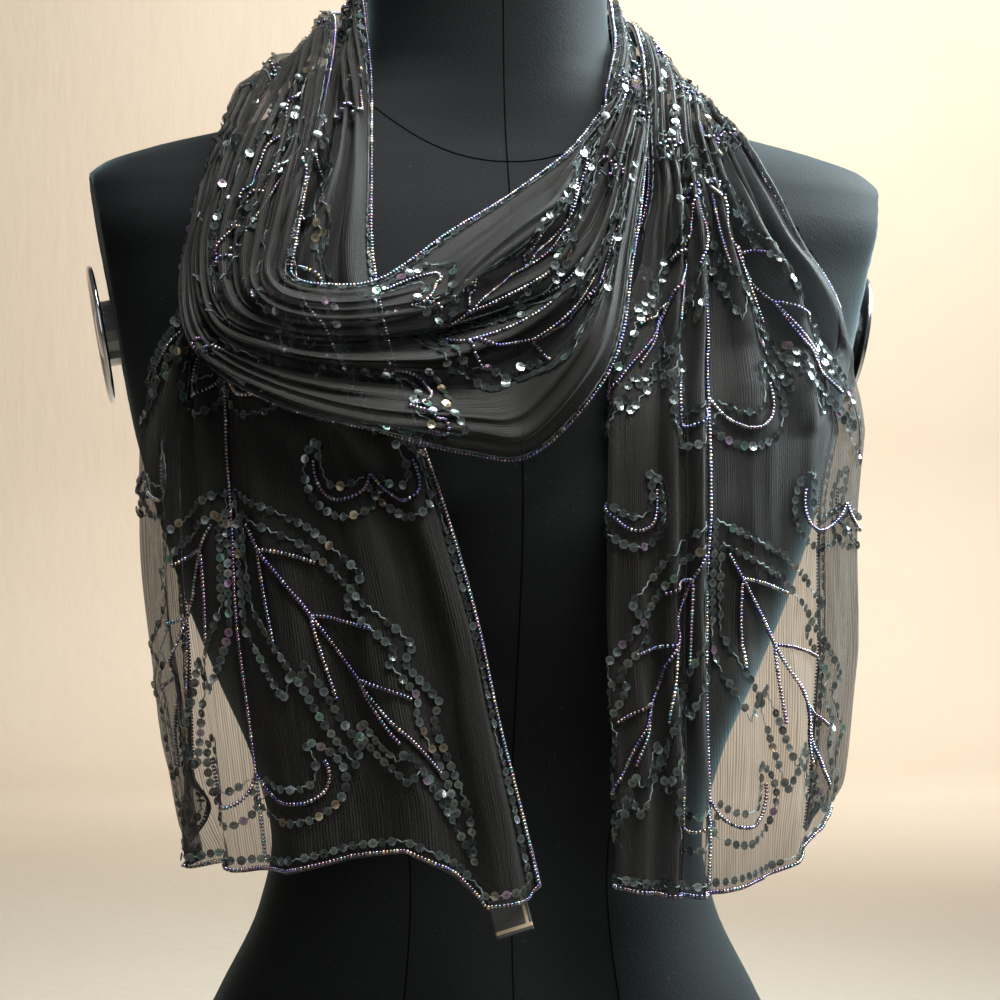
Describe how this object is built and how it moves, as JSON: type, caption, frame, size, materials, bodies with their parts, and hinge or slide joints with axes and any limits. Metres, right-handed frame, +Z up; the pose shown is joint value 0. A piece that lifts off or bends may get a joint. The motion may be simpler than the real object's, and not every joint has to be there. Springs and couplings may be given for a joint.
{
  "type": "evening stole on dress form",
  "caption": "Sheer black crinkled evening stole with beaded edges and scrolls, wound once round the neck of a limbless padded dress form, both ends hanging in front.",
  "frame": {"origin": "middle of the outer box at the underside of the base board", "axes": "+Z up, front of the form toward -Y, +X to the viewer's right seen from the front"},
  "size_m": [0.3884, 0.2568, 0.64],
  "materials": {
    "stole_silk": "sheer crinkled silk, black",
    "black_jersey": "stretch jersey, black",
    "dark_board": "stained, satin",
    "bright_chrome": "polished",
    "arm_boss_metal": "plain",
    "label_weave": "woven, plain"
  },
  "bodies": {
    "root": {"form_body": "black_jersey", "form_base_board": "dark_board", "arm_boss_left": "arm_boss_metal", "arm_boss_right": "arm_boss_metal", "arm_plate_left": "bright_chrome", "arm_plate_right": "bright_chrome", "stole_end_left": "stole_silk", "stole_back_outer": "stole_silk", "stole_loop_left": "stole_silk", "stole_loop_front": "stole_silk", "stole_back_inner": "stole_silk", "stole_end_right": "stole_silk", "stole_label": "label_weave"}
  },
  "joints": []
}
